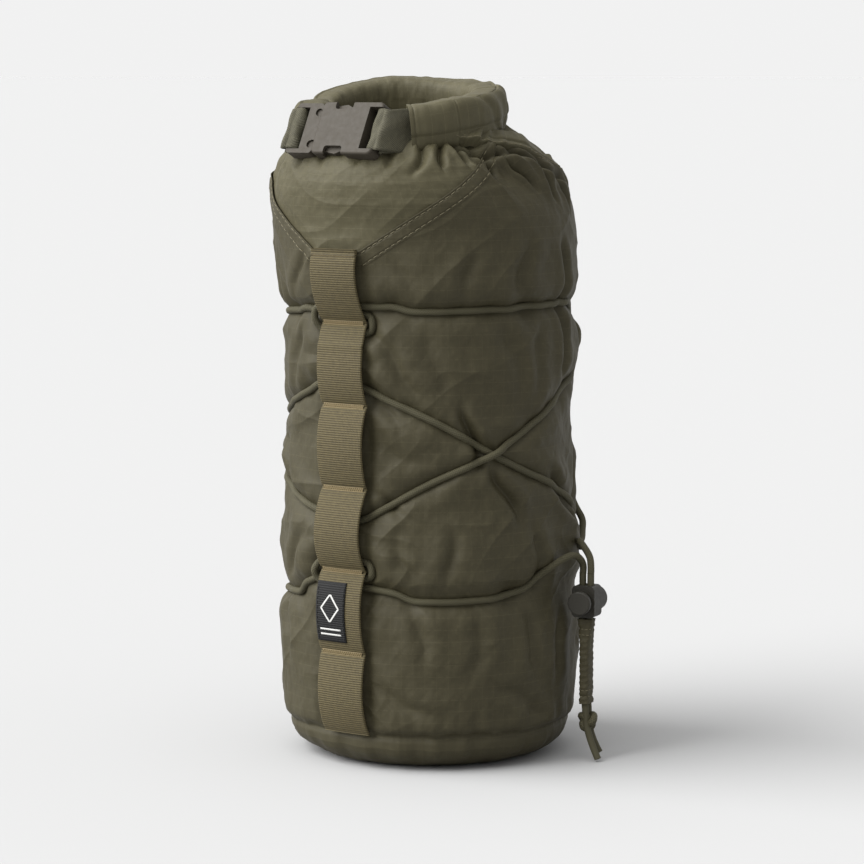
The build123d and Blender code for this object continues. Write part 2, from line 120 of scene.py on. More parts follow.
# ---- shape of the cloth ----
# A place on the cloth is its azimuth and m, the distance up its meridian: m is the height below
# SHOULDER_M, and above it m follows the cloth over the shoulder, to the roll and down the throat.
SHOULDER_M = 251.0
heights = np.array([14, 17, 21, 28, 35, 42, 50, 57, 66, 78, 85, 92, 99, 107, 114, 121, 135, 150, 164, 171,
                    185, 192, 200, 207, 213, 219, 226, 240, 251], float)
radii = np.array([66.5, 68.2, 69.0, 69.4, 69.8, 70.2, 70.6, 70.6, 69.8, 67.4, 67.8, 69.6, 70.4, 69.8, 68.8,
                  67.8, 67.4, 66.9, 66.9, 67.5, 68.4, 68.5, 68.0, 67.0, 66.8, 68.6, 70.2, 70.8, 70.7], float)
shoulder = np.array([(70.7, 251), (70.4, 257), (69.3, 263.5), (67.0, 270), (63.4, 276.5), (58.6, 282.5),
                     (53.2, 288), (48.0, 293), (44.0, 297.5), (41.0, 300), (36.0, 297), (27.0, 290),
                     (14.0, 285.5), (0.3, 284)], float)
shoulder_m = SHOULDER_M + run_length(shoulder)
M_ROLL = shoulder_m[9]
fine_m = np.arange(10, shoulder_m[-1] + 0.5, 0.5)
table_r = np.where(fine_m < SHOULDER_M, np.interp(fine_m, heights, radii),
                   np.interp(fine_m, shoulder_m, shoulder[:, 0]))
table_z = np.where(fine_m < SHOULDER_M, fine_m, np.interp(fine_m, shoulder_m, shoulder[:, 1]))
kernel = np.exp(-np.linspace(-2, 2, 15) ** 2)
kernel /= kernel.sum()
pad = 7
table_r = np.convolve(np.pad(table_r, pad, mode="reflect", reflect_type="odd"), kernel, "valid")
table_z = np.convolve(np.pad(table_z, pad, mode="reflect", reflect_type="odd"), kernel, "valid")

broad, pleat_n = Noise(9, 9, 3), Noise(26, 3, 11)
folds_n, fine_n = Noise(42, 11, 5), Noise(110, 60, 8)
diag_n, ring_n = Noise(17, 13, 21), Noise(54, 17, 13)
seam_n = Noise(88, 2, 17)


def off_chain(az):
    """Degrees from the nearer chain."""
    return np.abs(wrap_deg((np.asarray(az, float) + 90) % 180 - 90))


def top_ring(az):
    """Height of the upper ring of lacing, which sags on the left."""
    sag = 5.4 * bump(wrap_deg(az + 74), 42) + 0.8 * bump(off_chain(az), 16)
    return 213.4 - sag + 1.4 * bump(wrap_deg(az - 120), 40)


def low_ring(az):
    """Height of the lower ring of lacing, raised at the chains and at the lock."""
    rise = 3.6 * bump(off_chain(az), 32) + 3.4 * bump(wrap_deg(az - 88), 34)
    return 78.8 + rise - 3.2 * bump(wrap_deg(az + 74), 40)


def v_edge(az):
    """Height of the V seam along the cloth."""
    return V_LOW + 44.0 * np.clip((off_chain(az) - 10.4) / 56.0, 0, 1.34)


def round_turn(az, tack, side):
    """A turn of the cord round one bar tack, as (azimuth, height, lift) points."""
    drop = 2.4 if side > 0 else 0.0
    steps = [(21, -7.2 - drop, 0), (10, -7.4 - 0.4 * drop, 0), (0, -7.4, 0), (-9.5, -7.4, 0.4),
             (-12.2, -6.6, 2.0), (-13.6, -4.2, 3.0), (-13.6, -0.6, 2.4), (-12.2, 3.0, 0.9),
             (-9.0, 4.2, 0.1), (0, 4.2, 0), (9.0, 4.2, 0.1), (11.6, 2.8, 0.6), (12.4, 0, 0.9),
             (11.6, -2.8, 0.6), (9.0, -3.9, 0.1), (0, -3.9, 0), (-10, -4.2, 0), (-21, -5.6 - drop, 0)]
    return [(az + a, tack + side * z, lift) for a, z, lift in steps]


def ring(first, last, heights_of):
    """Points every six degrees or so along a ring."""
    return [(a, float(heights_of(a)), 0) for a in np.linspace(first, last, round(abs(first - last) / 6))]


def slant(first, span, z0, z1, over):
    """A crossed run that climbs or falls over a span; over lifts it where it passes another run."""
    points = []
    for turn in np.linspace(0, span, int(span / 6) + 1):
        near = min(turn, span - turn)
        share = 0.5 + (turn / span - 0.5) * (1 - 0.05 * bump(near, 9)) + 0.012 * math.sin(turn / 9.0 + first)
        lift = 3.2 * bump(turn - span / 2, 4.8) if over else 0.0
        points.append((first - turn, z0 + (z1 - z0) * share, lift))
    return points


route = [(88, 90, 0.8), (80, 85.2, 0), (73, 82.6, 0), *ring(64, 28, low_ring), *round_turn(0, TACK_Z[4], 1),
         *ring(-28, -152, low_ring), *round_turn(-180, TACK_Z[4], 1), (-211, 88.2, 0), (-221, 94.6, 0),
         (-231, 103.6, 0), *slant(-240, 120, CORD_LOW, CORD_HIGH, False)[:-1],
         *slant(-360, 180, CORD_HIGH, CORD_LOW, False),
         (-551, 113.4, 0), (-558, 118, 0), (-564, 129, 0), (-570, 146, 0), (-575, 163, 0), (-580, 180, 0),
         (-585.5, 196, 0), (-591.5, 206.5, 0), (-600, 212.6, 0), *ring(-612, -692, top_ring),
         *round_turn(-720, TACK_Z[1], -1), *ring(-748, -872, top_ring), *round_turn(-900, TACK_Z[1], -1),
         (-929.5, 213.2, 0), (-937, 205.6, 1.4), (-944, 197, 3.2), (-951, 190.8, 1.4),
         *slant(-960, 120, CORD_HIGH, CORD_LOW, True)[:-1],
         *slant(-1080, 180, CORD_LOW, CORD_HIGH, True), (-1271, 183.6, 0),
         (-1277, 179.4, 0), (-1283, 169, 0), (-1287.6, 159, 1.8), (-1291.4, 150, 3.2), (-1295.6, 140.6, 1.8),
         (-1300, 129, 0), (-1304.6, 117.6, 1.4), (-1309.4, 107, 3.2), (-1315, 99.6, 1.8), (-1322, 97.4, 0.6),
         (-1330, 99.4, 2.4)]


def curve_through(points, per=12):
    """A Catmull-Rom curve through points."""
    p = np.asarray(points, float)
    p = np.concatenate([[2 * p[0] - p[1]], p, [2 * p[-1] - p[-2]]])
    out = []
    for i in range(1, len(p) - 2):
        for t in np.linspace(0, 1, per, endpoint=False):
            out.append(0.5 * (2 * p[i] + (p[i + 1] - p[i - 1]) * t
                              + (2 * p[i - 1] - 5 * p[i] + 4 * p[i + 1] - p[i + 2]) * t ** 2
                              + (3 * p[i] - p[i - 1] - 3 * p[i + 1] + p[i + 2]) * t ** 3))
    return np.array(out + [p[-2]])


route = curve_through(np.array(route, float) * [PER_DEGREE, 1, 1], 12) / [PER_DEGREE, 1, 1]

# distance from the lacing, on a grid of half degrees by millimetres
FIELD_COLS, FIELD_ROWS = 720, 260
FAR = 99.0
da, dz = np.arange(-50, 51)[:, None], np.arange(-28, 29)[None]
cord_field = np.full((FIELD_COLS, FIELD_ROWS), FAR)
for az0, z0, lift0 in route:
    ia, iz = int(round(az0 * 2)), int(round(z0))
    away = np.hypot((ia + da - az0 * 2) * PER_DEGREE / 2, iz + dz - z0) + 1.3 * lift0
    window = np.ix_((ia + da[:, 0]) % FIELD_COLS, np.clip(iz + dz[0], 0, FIELD_ROWS - 1))
    cord_field[window] = np.minimum(cord_field[window], away)


def cord_away(az, z):
    """Distance in mm from the nearest run of the lacing."""
    x, y = (az * 2) % FIELD_COLS, np.clip(z, 0, FIELD_ROWS - 1.1)
    xi, yi = np.floor(x).astype(int) % FIELD_COLS, np.floor(y).astype(int)
    fx, fy = x - np.floor(x), y - yi
    xn = (xi + 1) % FIELD_COLS
    return ((cord_field[xi, yi] * (1 - fx) + cord_field[xn, yi] * fx) * (1 - fy)
            + (cord_field[xi, yi + 1] * (1 - fx) + cord_field[xn, yi + 1] * fx) * fy)


# a crease is its two ends, as azimuth and height, then its width and depth
CREASES = [
    (48, 169, 55, 145, 3.6, 2.6), (60, 141, 72, 117, 4.0, 2.8), (99, 243, 101, 182, 4.0, 2.2),
    (89, 137, 112, 107, 3.6, 2.2), (11, 207, 31, 174, 5.0, 1.5), (34, 205, 40, 176, 6.0, 1.1),
    (66, 208, 74, 178, 6.0, 1.4), (84, 205, 80, 172, 5.0, 1.3), (22, 108, 30, 88, 4.5, 1.4),
    (44, 112, 42, 88, 5.0, 1.5), (80, 112, 84, 88, 4.4, 1.7), (30, 74, 33, 52, 5.0, 1.2),
    (55, 72, 52, 46, 6.0, 1.3), (76, 72, 80, 44, 5.0, 1.5), (96, 70, 92, 40, 5.0, 1.6),
    (24, 236, 30, 219, 5.0, 1.2), (52, 240, 49, 220, 5.0, 1.4), (76, 246, 72, 220, 5.0, 1.6),
    (-24, 206, -34, 176, 5.0, 1.4), (-22, 108, -36, 88, 5.0, 1.5), (-40, 74, -34, 48, 5.0, 1.4),
    (14, 150, 34, 144, 6.0, 1.0), (14, 40, 40, 24, 5.0, 1.0), (-18, 238, -26, 220, 4.0, 1.3),
    (62, 40, 84, 24, 5.0, 1.1), (12, 172, 24, 160, 4.0, 1.2), (14, 128, 26, 120, 4.0, 1.2),
]
rng = np.random.default_rng(19)
for _ in range(44):
    a0, z0 = rng.uniform(118, 322), rng.choice([205, 108, 72, 240, 150])
    CREASES.append((a0, z0, a0 + rng.uniform(-12, 12), z0 - rng.uniform(16, 34), rng.uniform(3.5, 6),
                    rng.uniform(0.8, 2.2)))

# creases of the shoulder, the same on both sides, in azimuth and m
GATHERS = []
for mirror in (1, -1):
    for a0, z0, a1, z1, width, depth in (
            (84, 296, 88, 272, 2.6, 3.4), (93, 292, 99, 266, 2.8, 3.6), (75, 298, 73, 279, 2.6, 2.8),
            (104, 286, 110, 260, 3.0, 3.0), (58, 306, 51, 286, 2.8, 2.8), (49, 306, 38, 284, 3.4, 2.0),
            (66, 304, 63, 287, 2.4, 2.6), (30, 306, 25, 288, 4.0, 1.2), (118, 296, 122, 268, 3.0, 2.4),
            (14, 306, 12, 292, 4.0, 1.0), (134, 300, 140, 270, 3.4, 2.6), (64, 299, 88, 288.5, 3.2, 3.0),
            (88, 288.5, 116, 270, 3.2, 2.6)):
        GATHERS.append((mirror * a0, z0, mirror * a1, z1, width, depth))


def crease_field(creases, az, z):
    """Height in mm that a list of creases adds, a furrow with a raised lip on each side."""
    total = np.zeros_like(az)
    for a0, z0, a1, z1, width, depth in creases:
        dx = wrap_deg(az - a0) * PER_DEGREE
        vx, vz = wrap_deg(a1 - a0) * PER_DEGREE, z1 - z0
        length = math.hypot(vx, vz)
        along = (dx * vx + (z - z0) * vz) / length
        across = (dx * vz - (z - z0) * vx) / length
        across = across + 1.2 * np.sin(along * 0.21 + a0)
        ends = smooth(along, -6, 7) * (1 - smooth(along, length - 8, length + 7))
        lips = 0.62 * bump(np.abs(across) - width * 1.25, width)
        total += ends * depth * (lips - bump(across, width * 0.62))
    return total


def relief(az, m, collar):
    """Height of the cloth over its smooth shape, in mm."""
    u = az / 360.0
    body = 1 - smooth(m, 238, 262)
    away = cord_away(az, m)
    # broad swells, then folds that spread from the cord
    h = 1.5 * broad(u, m / 42.0)
    h += body * 1.7 * bump(away, 17) * folds_n(u + 0.0009 * m, m / 46.0)
    h += body * 0.7 * bump(away, 10) * ring_n(u - 0.0012 * m, m / 30.0)
    # two families of slanting ridges, and fine crumpling
    ridge = 1 - np.abs(diag_n(u + 0.0022 * m, m / 25.0)) * 2.2
    ridge_b = 1 - np.abs(diag_n(u - 0.0025 * m + 0.37, m / 29.0 + 5)) * 2.2
    h += (0.4 + 0.15 * body) * (np.clip(ridge, 0, 1) ** 2 + np.clip(ridge_b, 0, 1) ** 2 - 0.6)
    h += 0.16 * fine_n(u, m / 5.2) + 0.08 * fine_n(u * 2 + 0.3, m / 2.6)
    # the dent under the cord and the swelling beside it
    h -= body * 2.1 * bump(away, 3.4)
    h += body * 0.9 * bump(away - 9, 5)
    h += body * crease_field(CREASES, az, m)
    h += (1 - smooth(m, M_ROLL - 8, M_ROLL)) * crease_field(GATHERS, az, m)
    # a furrow along each edge of the webbing, and the pull of each bar tack
    chain = off_chain(az)
    h -= 1.0 * bump(chain - 10.5, 3.0) * (1 - smooth(m, 225, 243))
    tack = sum(bump(m - t, 5.0) for t in TACK_Z[1:6])
    h -= 1.1 * tack * bump(chain, 15)
    # the base seam, puckered
    h -= 1.7 * bump(m - SEAM_Z, 2.2) * (1 + 0.5 * seam_n(u, 0.3)) - 0.9 * bump(m - 24, 6) * seam_n(u, 1.2)
    # pleats that grow towards the roll, least at the front
    back = smooth(np.abs(wrap_deg(az - 10)), 34, 72)
    pleat = 1 - np.abs(pleat_n(u + 0.0006 * (m - 250), (m - 235) / 95.0)) * 2.6
    grow = smooth(m, 252, 288) * (1 - 0.6 * smooth(m, M_ROLL - 4, M_ROLL + 10))
    h += grow * (0.7 + 4.6 * back) * (np.clip(pleat, -0.6, 1) * 0.62 - 0.1)
    # the collar lies inside the lower wall, whose hem is doubled and sewn in two rows
    if collar:
        h -= 0.5
    else:
        edge = v_edge(az) - m
        h += 0.45 * (1 - smooth(edge, 7.4, 8.6)) + 0.35
        h -= 0.35 * sum(bump(edge - drop, 0.55) for drop in SEAM_ROWS)
    return h


def cloth_point(az, m, lift=0.0, collar=False, plain=False):
    """Points on the cloth; lift is outward, and plain leaves out the relief."""
    az, m = np.broadcast_arrays(np.asarray(az, float), np.asarray(m, float))
    r, z = np.interp(m, fine_m, table_r), np.interp(m, fine_m, table_z)
    dr = np.interp(m + 1, fine_m, table_r) - np.interp(m - 1, fine_m, table_r)
    dz = np.interp(m + 1, fine_m, table_z) - np.interp(m - 1, fine_m, table_z)
    size = np.hypot(dr, dz) + 1e-9
    nr, nz = dz / size, -dr / size
    h = lift if plain else relief(az, m, collar) + lift
    a = np.radians(az)
    w = smooth(m, 246, M_ROLL)                    # share of the roll's place and slope
    lean = -3.4 * smooth(z, 190, 262) * (1 - w)
    radial = r + nr * h
    x = radial * np.sin(a)
    y = -radial * np.cos(a) + lean + w * ROLL_C
    z = z + nz * h + w * (ROLL_MID - 303.0 - math.tan(math.radians(ROLL_TILT)) * ROLL_R * np.cos(a))
    z = z + 3.0 * w * bump(wrap_deg(az - 226), 44)
    return np.stack([x, y, z], axis=-1)


# ---- meshes ----
def mesh(name, pts, quads, uv, material):
    """A smooth-shaded object from points in mm, quads and corner UVs in mm."""
    data = bpy.data.meshes.new(name)
    data.vertices.add(len(pts))
    data.vertices.foreach_set("co", (np.asarray(pts) * MM).astype(np.float32).ravel())
    quads = np.asarray(quads, np.int32)
    data.loops.add(quads.size)
    data.loops.foreach_set("vertex_index", quads.ravel())
    data.polygons.add(len(quads))
    data.polygons.foreach_set("loop_start", np.arange(0, quads.size, 4, dtype=np.int32))
    data.update(calc_edges=True)
    data.polygons.foreach_set("use_smooth", np.ones(len(quads), bool))
    layer = data.uv_layers.new(name="cloth")
    layer.data.foreach_set("uv", np.asarray(uv, np.float32).ravel())
    data.validate()
    obj = bpy.data.objects.new(name, data)
    bpy.context.scene.collection.objects.link(obj)
    data.materials.append(material)
    return obj


def grid_parts(pts, uv_u, uv_v, wrap):
    """Vertices, quads and corner UVs of a grid; the second index runs round when it wraps."""
    n, m = pts.shape[:2]
    idx = np.arange(n * m).reshape(n, m)
    right = np.roll(idx, -1, axis=1) if wrap else idx[:, 1:]
    left = idx if wrap else idx[:, :-1]
    quads = np.stack([left[:-1], right[:-1], right[1:], left[1:]], axis=-1).reshape(-1, 4)
    u0, u1 = (uv_u[:, :-1], uv_u[:, 1:])
    v0, v1 = (uv_v[:, :-1], uv_v[:, 1:])
    uv = np.stack([np.stack([u0[:-1], v0[:-1]], -1), np.stack([u1[:-1], v1[:-1]], -1),
                   np.stack([u1[1:], v1[1:]], -1), np.stack([u0[1:], v0[1:]], -1)], axis=2).reshape(-1, 2)
    return pts.reshape(-1, 3), quads, uv


def grid(name, pts, uv_u, uv_v, wrap, material, flip=False):
    """An object from a grid of points; flip turns its faces the other way."""
    obj = mesh(name, *grid_parts(pts, uv_u, uv_v, wrap), material)
    if flip:
        obj.data.flip_normals()
    return obj


def thicken(obj, thickness):
    """Give a sheet its thickness, inward from its outer face."""
    solid = obj.modifiers.new("thickness", "SOLIDIFY")
    solid.thickness, solid.offset = thickness, -1


def frames(path):
    """Tangents and two side directions along a path, without twist."""
    tangent = np.gradient(path, axis=0)
    tangent /= np.linalg.norm(tangent, axis=1, keepdims=True) + 1e-12
    side = np.zeros_like(path)
    ref = np.cross(tangent[0], [0.31, 0.17, 0.93])
    ref /= np.linalg.norm(ref)
    for i, t in enumerate(tangent):
        ref = ref - t * (ref @ t)
        ref /= np.linalg.norm(ref) + 1e-12
        side[i] = ref
    return tangent, side, np.cross(tangent, side)


def tube_parts(path, radius, sides, start=0):
    """A round tube that narrows at its two open ends."""
    path = np.asarray(path, float)
    _, a, b = frames(path)
    angle = np.linspace(0, 2 * math.pi, sides, endpoint=False)
    r = np.full(len(path), radius, float)
    r[0] = r[-1] = radius * 0.55
    section = (np.cos(angle)[None, :, None] * a[:, None] + np.sin(angle)[None, :, None] * b[:, None])
    pts = path[:, None] + section * r[:, None, None]
    uu = np.repeat(np.linspace(0, 1, sides + 1)[None], len(path), 0) * 2 * math.pi * radius
    vv = np.repeat(run_length(path)[:, None], sides + 1, 1)
    pts, quads, uv = grid_parts(pts, uu, vv, True)
    return pts, quads + start, uv


def tubes(name, paths, radius, sides, material):
    """One object made of a tube along each path."""
    pts, quads, uvs, start = [], [], [], 0
    for path in paths:
        p, q, uv = tube_parts(path, radius, sides, start)
        pts.append(p)
        quads.append(q)
        uvs.append(uv)
        start += len(p)
    return mesh(name, np.concatenate(pts), np.concatenate(quads), np.concatenate(uvs), material)


def resample(path, step):
    """The same path with evenly spaced points, about a step apart."""
    path = np.asarray(path, float)
    s = run_length(path)
    t = np.linspace(0, s[-1], max(3, int(s[-1] / step)))
    return np.stack([np.interp(t, s, path[:, k]) for k in range(3)], axis=1)


def stitch_row(path, length=2.5, gap=0.8, sink=0.14):
    """Short thread arcs along a path of cloth points."""
    path = resample(path, 0.35)
    s = run_length(path)
    rows, at = [], 0.3
    while at + length < s[-1]:
        t = np.linspace(at, at + length, 5)
        piece = np.stack([np.interp(t, s, path[:, k]) for k in range(3)], axis=1)
        out = piece.copy()
        out[:, 2] = 0
        out /= np.linalg.norm(out, axis=1, keepdims=True) + 1e-9
        piece += out * (np.array([-1, 0.7, 1, 0.7, -1]) * sink)[:, None]
        rows.append(piece)
        at += length + gap
    return rows


# ---- materials ----
RIPSTOP_PITCH = 5.4


def srgb(r, g, b):
    """A display colour from 0 to 255 as linear RGBA."""
    shares = [c / 255 for c in (r, g, b)]
    return tuple(c / 12.92 if c <= 0.04045 else ((c + 0.055) / 1.055) ** 2.4 for c in shares) + (1.0,)


class Nodes:
    """A material's node tree, with short calls for the nodes used here."""

    def __init__(self, name):
        self.material = bpy.data.materials.new(name)
        self.material.use_nodes = True
        self.tree = self.material.node_tree
        self.shader = self.tree.nodes["Principled BSDF"]

    def link(self, out, into):
        self.tree.links.new(out, into)

    def math(self, operation, a, b=None):
        node = self.tree.nodes.new("ShaderNodeMath")
        node.operation = operation
        for socket, value in zip(node.inputs, (a, b)):
            if value is None:
                continue
            if isinstance(value, (int, float)):
                socket.default_value = value
            else:
                self.link(value, socket)
        return node.outputs[0]

    def mix(self, factor, a, b):
        node = self.tree.nodes.new("ShaderNodeMix")
        node.data_type = "RGBA"
        sockets = node.inputs["Factor"], node.inputs[6], node.inputs[7]
        for socket, value in zip(sockets, (factor, a, b)):
            if isinstance(value, (int, float, tuple)):
                socket.default_value = value
            else:
                self.link(value, socket)
        return node.outputs[2]

    def noise(self, scale, detail=2.0, vector=None):
        node = self.tree.nodes.new("ShaderNodeTexNoise")
        node.inputs["Scale"].default_value = scale
        node.inputs["Detail"].default_value = detail
        if vector is not None:
            self.link(vector, node.inputs["Vector"])
        return node.outputs["Fac"]

    def uv(self):
        """The cloth UV, in mm, whole and as its two parts."""
        node = self.tree.nodes.new("ShaderNodeUVMap")
        node.uv_map = "cloth"
        split = self.tree.nodes.new("ShaderNodeSeparateXYZ")
        self.link(node.outputs[0], split.inputs[0])
        return node.outputs[0], split.outputs[0], split.outputs[1]

    def position(self):
        return self.tree.nodes.new("ShaderNodeTexCoord").outputs["Object"]

    def bump(self, height, strength, distance):
        node = self.tree.nodes.new("ShaderNodeBump")
        node.inputs["Strength"].default_value = strength
        node.inputs["Distance"].default_value = distance
        self.link(height, node.inputs["Height"])
        self.link(node.outputs[0], self.shader.inputs["Normal"])

    def base(self, roughness, specular=0.4, sheen=0.0, tint=None):
        s = self.shader.inputs
        s["Roughness"].default_value = roughness
        s["Specular IOR Level"].default_value = specular
        s["Sheen Weight"].default_value = sheen
        s["Sheen Roughness"].default_value = 0.45
        if tint:
            s["Sheen Tint"].default_value = tint


def ripstop(name, colour, line_colour, sheen):
    """Plain weave with a grid of thicker threads, worn in patches."""
    n = Nodes(name)
    vector, u, v = n.uv()
    lines = []
    for axis in (u, v):
        cell = n.math("FRACT", n.math("DIVIDE", axis, RIPSTOP_PITCH))
        near = n.math("ABSOLUTE", n.math("SUBTRACT", cell, 0.5))
        lines.append(n.math("LESS_THAN", near, 0.034))
    gapped = n.math("GREATER_THAN", n.noise(0.9, 1.0, vector), 0.42)
    weft = n.math("MULTIPLY", lines[1], gapped)
    warp = n.math("MULTIPLY", n.math("MULTIPLY", lines[0], gapped), 0.55)
    mask = n.math("MAXIMUM", weft, warp)
    thread_u = n.math("SINE", n.math("MULTIPLY", u, 11.0))
    thread_v = n.math("SINE", n.math("MULTIPLY", v, 11.0))
    weave = n.math("MULTIPLY", thread_u, thread_v)
    patch = n.noise(0.045, 3.0, vector)
    shade = n.mix(n.math("MULTIPLY", n.math("SUBTRACT", patch, 0.35), 0.9), colour,
                  tuple(c * 0.72 for c in colour[:3]) + (1,))
    rub = n.noise(0.35, 4.0, vector)
    shade = n.mix(n.math("MULTIPLY", n.math("SUBTRACT", rub, 0.5), 0.55), shade, line_colour)
    shade = n.mix(n.math("MULTIPLY", mask, 0.2), shade, line_colour)
    n.link(shade, n.shader.inputs["Base Color"])
    n.base(0.62, 0.2, sheen, line_colour)
    coarse = n.math("ADD", n.math("MULTIPLY", mask, 0.9), n.math("MULTIPLY", n.noise(1.4, 3, vector), 0.8))
    height = n.math("ADD", n.math("MULTIPLY", weave, 0.25), coarse)
    n.bump(height, 0.35, 0.00016)
    return n.material


def webbing(name, colour, dark, twill=False):
    """Woven tape, with ribs across it or, as a twill, with a chevron."""
    n = Nodes(name)
    vector, u, v = n.uv()
    if twill:
        zigzag = n.math("ABSOLUTE", n.math("SUBTRACT", n.math("FRACT", n.math("DIVIDE", u, 10.0)), 0.5))
        wave = n.math("SINE", n.math("MULTIPLY", n.math("ADD", n.math("MULTIPLY", zigzag, 14.0), v), 5.2))
        fine = n.math("MULTIPLY", n.math("SINE", n.math("MULTIPLY", v, 16.0)), 0.25)
        height = n.math("ADD", wave, fine)
    else:
        row = n.math("SINE", n.math("MULTIPLY", v, 2 * math.pi / WEB_PITCH))
        across = n.math("MULTIPLY", u, 2 * math.pi / 0.8)
        yarn = n.math("SINE", n.math("ADD", across, n.math("MULTIPLY", row, 1.2)))
        height = n.math("ADD", row, n.math("MULTIPLY", yarn, 0.5))
    tone = n.math("ADD", n.math("MULTIPLY", height, 0.28), 0.5)
    tone = n.math("ADD", tone, n.math("MULTIPLY", n.math("SUBTRACT", n.noise(0.5, 4, vector), 0.5), 0.7))
    n.link(n.mix(tone, dark, colour), n.shader.inputs["Base Color"])
    n.base(0.72, 0.3, 0.2, colour)
    n.bump(height, 0.55, 0.00018)
    return n.material


def braid(name, colour, dark):
    """Two crossing spirals of yarn round a cord."""
    n = Nodes(name)
    _, u, v = n.uv()
    one = n.math("SINE", n.math("MULTIPLY", n.math("ADD", v, n.math("MULTIPLY", u, 0.95)), 5.4))
    two = n.math("SINE", n.math("MULTIPLY", n.math("SUBTRACT", v, n.math("MULTIPLY", u, 0.95)), 5.4))
    height = n.math("MAXIMUM", one, two)
    tone = n.math("ADD", n.math("MULTIPLY", height, 0.35), 0.45)
    n.link(n.mix(tone, dark, colour), n.shader.inputs["Base Color"])
    n.base(0.7, 0.3, 0.15, colour)
    n.bump(height, 0.6, 0.0002)
    return n.material


def plastic(name, colour, roughness):
    """Moulded plastic with a fine grain and light scuffs."""
    n = Nodes(name)
    where = n.position()
    scuff = n.noise(160, 5, where)
    shade = n.mix(n.math("MULTIPLY", n.math("SUBTRACT", scuff, 0.45), 0.5), colour,
                  tuple(min(1, c * 1.5) for c in colour[:3]) + (1,))
    n.link(shade, n.shader.inputs["Base Color"])
    n.base(roughness, 0.25)
    rough = n.math("ADD", n.math("MULTIPLY", n.noise(420, 3, where), 0.25), roughness - 0.1)
    n.link(rough, n.shader.inputs["Roughness"])
    n.bump(n.noise(1900, 2, where), 0.25, 0.00008)
    return n.material


def plain(name, colour, roughness=0.7, metallic=0.0, sheen=0.0):
    n = Nodes(name)
    n.shader.inputs["Base Color"].default_value = colour
    n.base(roughness, 0.3, sheen, colour)
    n.shader.inputs["Metallic"].default_value = metallic
    return n.material


CLOTH = ripstop("cloth", srgb(54, 50, 34), srgb(80, 75, 54), 0.04)
# the collar is the same cloth as the wall, coloured lighter here: painted light from above on the
# upward-facing collar, its side folds and the roll
COLLAR_LIT = ripstop("cloth_collar", srgb(67, 63, 45), srgb(96, 91, 68), 0.06)
BASE = ripstop("cloth_base", srgb(56, 52, 36), srgb(80, 75, 54), 0.04)
WEB = webbing("webbing", srgb(84, 75, 47), srgb(44, 38, 22))
TAB = webbing("tab_webbing", srgb(80, 77, 60), srgb(42, 40, 30), True)
CORD = braid("cord", srgb(72, 68, 47), srgb(34, 32, 21))
THREAD = plain("thread", srgb(92, 86, 66), 0.6, sheen=0.1)
TACK_THREAD = plain("tack_thread", srgb(112, 99, 70), 0.6, sheen=0.1)
LABEL = webbing("label_black", srgb(12, 12, 12), srgb(6, 6, 6))
LABEL_THREAD = plain("label_thread", srgb(24, 24, 23))
MARK = plain("label_mark", srgb(176, 176, 172), 0.7)
BUCKLE = plastic("buckle_plastic", srgb(52, 47, 39), 0.6)
LOCK = plastic("lock_plastic", srgb(38, 36, 30), 0.48)
STEEL = plain("spring_steel", srgb(170, 170, 170), 0.3, 1.0)


def place(obj, body="sack"):
    """Let a piece ride a body."""
    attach(obj, body)
    return obj


# ---- cloth ----
COLS = int(1500 * FINE)
azimuths = np.linspace(0, 360, COLS, endpoint=False)
az_uv = np.linspace(0, 360, COLS + 1)


def base_seam(az):
    return np.full(len(az), SEAM_Z)


def collar_hem(az):
    return v_edge(az) - SEAM_DROP


def throat(az):
    return np.full(len(az), shoulder_m[-1])


def wall(name, count, low_of, high_of, material, collar):
    """A sheet round the sack between two edges, each given for an azimuth."""
    t = np.linspace(0, 1, count)[:, None]
    low, high = low_of(azimuths)[None], high_of(azimuths)[None]
    pts = cloth_point(np.repeat(azimuths[None], count, 0), low + (high - low) * t, collar=collar)
    low_uv, high_uv = low_of(az_uv)[None], high_of(az_uv)[None]
    width = np.repeat(az_uv[None], count, 0) * UV_PER_DEGREE
    return grid(name, pts, width, low_uv + (high_uv - low_uv) * t, True, material)


lower = wall("cloth_lower", int(760 * FINE), base_seam, v_edge, CLOTH, False)
thicken(lower, 0.00045)
place(lower)
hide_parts("main_panel")

collar = place(wall("cloth_collar", int(360 * FINE), collar_hem, throat, COLLAR_LIT, True))
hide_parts("collar_panel")

BASE_PROFILE = np.array([(69.0, 18.5), (68.4, 16.6), (67.6, 14.2), (66.0, 10.8), (63.5, 7.6), (60.0, 4.6),
                         (55.5, 2.0), (51.0, 0.6), (46, 0.0), (30, 0.0), (12, 0.0), (0.2, 0.0)])


def base_panel():
    """The domed base, puckered at its seam and drawn to the wall's lower edge."""
    run = run_length(BASE_PROFILE)
    s = np.linspace(0, run[-1], int(200 * FINE))
    r = np.interp(s, run, BASE_PROFILE[:, 0])[:, None]
    z = np.interp(s, run, BASE_PROFILE[:, 1])[:, None]
    az = np.repeat(azimuths[None], len(s), 0)
    u, inward = az / 360, s[:, None]
    fall = (1 - smooth(s, 16, 34))[:, None]
    pucker = (0.8 * folds_n(u + 0.2, inward / 14) + 0.55 * seam_n(u, inward / 12)
              + 0.9 * broad(u + 0.4, inward / 20))
    pucker = fall * pucker - 0.9 * bump(inward - 2, 1.6)
    a = np.radians(az)
    radial = r + pucker * 0.9
    height = np.maximum(z - 0.35 * pucker * fall, 0.02)
    pts = np.stack([radial * np.sin(a), -radial * np.cos(a), height], -1)
    hem = cloth_point(azimuths, np.full(COLS, 17.6), lift=-0.25)
    pts += (hem - pts[0])[None] * np.exp(-(s / 7.0) ** 2)[:, None, None]
    width = np.repeat(az_uv[None], len(s), 0) * 1.1
    return grid("cloth_base", pts, width, np.repeat(inward, COLS + 1, 1), True, BASE, flip=True)


base = place(base_panel())
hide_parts("bottom_panel")

